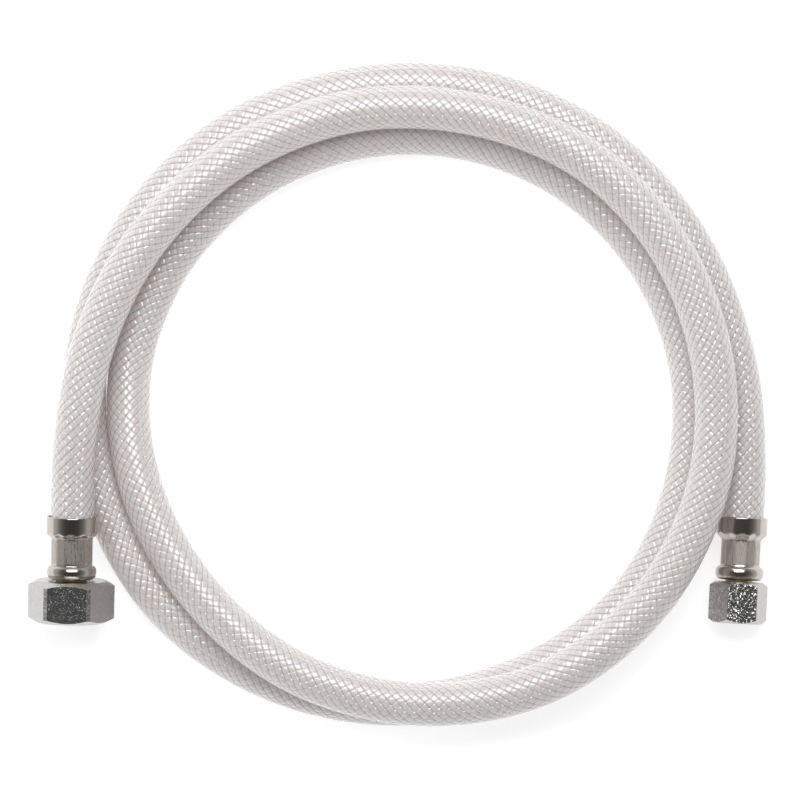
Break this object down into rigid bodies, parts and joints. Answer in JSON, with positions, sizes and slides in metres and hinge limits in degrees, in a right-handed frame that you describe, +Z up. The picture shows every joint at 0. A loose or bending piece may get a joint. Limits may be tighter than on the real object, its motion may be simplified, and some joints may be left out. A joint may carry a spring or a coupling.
{
  "type": "braided supply line",
  "caption": "Clear braided PVC supply hose in a loose coil, with a large hexagonal swivel nut crimped on one end and a smaller swivel nut on the other.",
  "frame": {"origin": "on the surface that the line lies on, midway between the two end fittings", "axes": "+X from the faucet (large nut) end to the valve (small nut) end, +Y from the fittings across the coil, +Z up off the surface"},
  "size_m": [0.23, 0.206, 0.0277],
  "materials": {
    "liner": "milky soft PVC",
    "yarn": "white polyester yarn, woven in diamonds",
    "jacket": "clear glossy PVC over the yarn",
    "ferrule": "bright drawn stainless sheet",
    "brass": "bare turned brass",
    "nut": "satin nickel plate on brass",
    "washer": "matt black"
  },
  "bodies": {
    "hose": {"hose_liner": "liner", "hose_braid": "yarn", "hose_jacket": "jacket", "faucet_ferrule": "ferrule", "faucet_stem": "brass", "faucet_washer": "washer", "valve_ferrule": "ferrule", "valve_stem": "brass", "valve_washer": "washer"},
    "faucet_ring": {"faucet_thrust_ring": "brass"},
    "faucet_nut": {"faucet_nut": "nut"},
    "valve_ring": {"valve_thrust_ring": "brass"},
    "valve_nut": {"valve_nut": "nut"}
  },
  "joints": [
    {"name": "faucet_nut_float", "type": "slide", "parent": "hose", "child": "faucet_ring", "axis": [-0.0174, -0.996, -0.0872], "range_m": [-0.0004, 0]},
    {"name": "faucet_nut_swivel", "type": "hinge", "parent": "faucet_ring", "child": "faucet_nut", "pos_m": [-0.10185, -0.00337, 0.01566], "axis": [-0.0174, -0.996, -0.0872], "continuous": true},
    {"name": "valve_nut_float", "type": "slide", "parent": "hose", "child": "valve_ring", "axis": [-0.0523, -0.9986, 0], "range_m": [-0.0004, 0]},
    {"name": "valve_nut_swivel", "type": "hinge", "parent": "valve_ring", "child": "valve_nut", "pos_m": [0.10545, -0.00407, 0.0087], "axis": [-0.0523, -0.9986, 0], "continuous": true}
  ]
}
